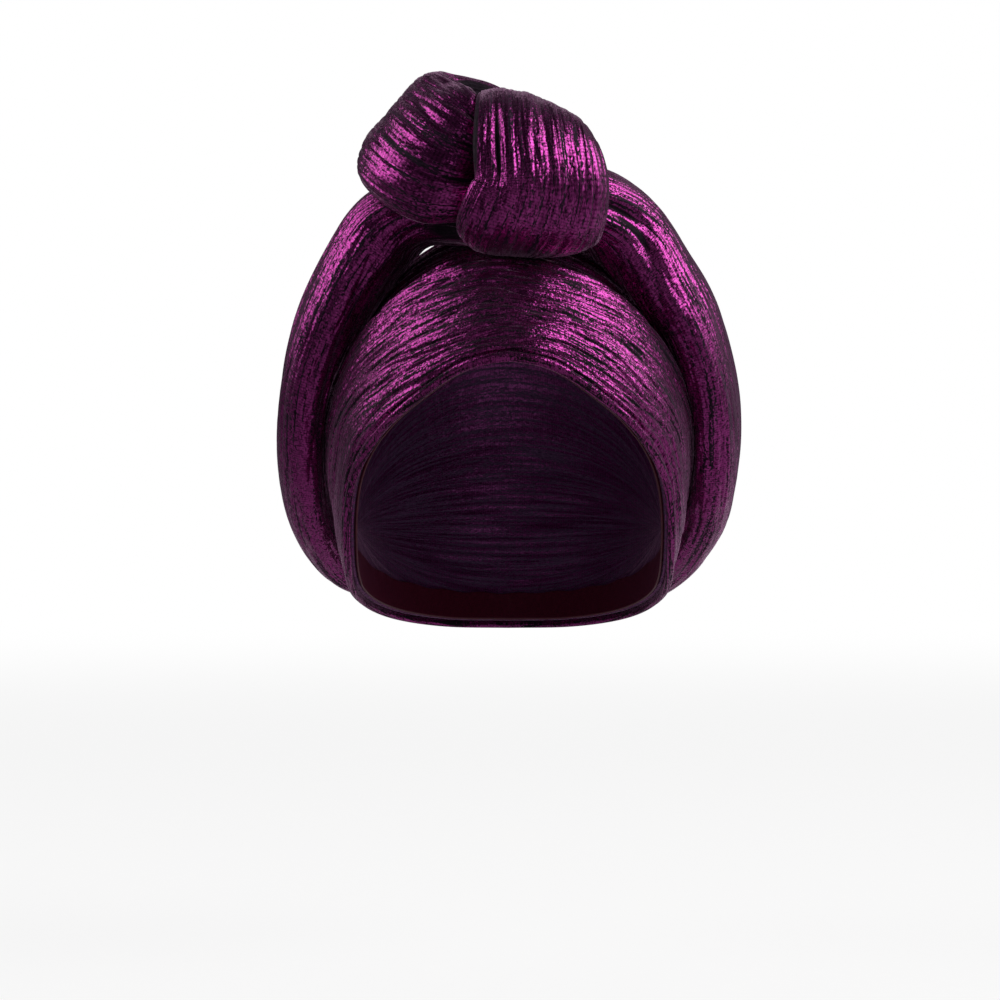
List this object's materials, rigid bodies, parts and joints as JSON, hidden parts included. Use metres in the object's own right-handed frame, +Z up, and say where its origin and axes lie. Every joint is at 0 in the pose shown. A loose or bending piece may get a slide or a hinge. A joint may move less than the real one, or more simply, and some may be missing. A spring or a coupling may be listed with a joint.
{
  "type": "tied gele head tie",
  "caption": "Worn head tie: a fitted cloth cap with a pleated forehead band, and padded ties that rise from the nape and are tied in a half knot over the forehead.",
  "frame": {"origin": "top of the wearer's head, on the inside of the cap's crown", "axes": "+Z up, the wearer faces -Y, +X to the wearer's left"},
  "size_m": [0.195, 0.2137, 0.2322],
  "materials": {
    "brocade": "crinkled brocade woven with metallic purple thread",
    "facing": "wine-red satin"
  },
  "bodies": {
    "root": {"cap": "brocade", "forehead_band": "brocade", "hem_facing": "facing", "left_tie": "brocade", "right_tie": "brocade"}
  },
  "joints": []
}
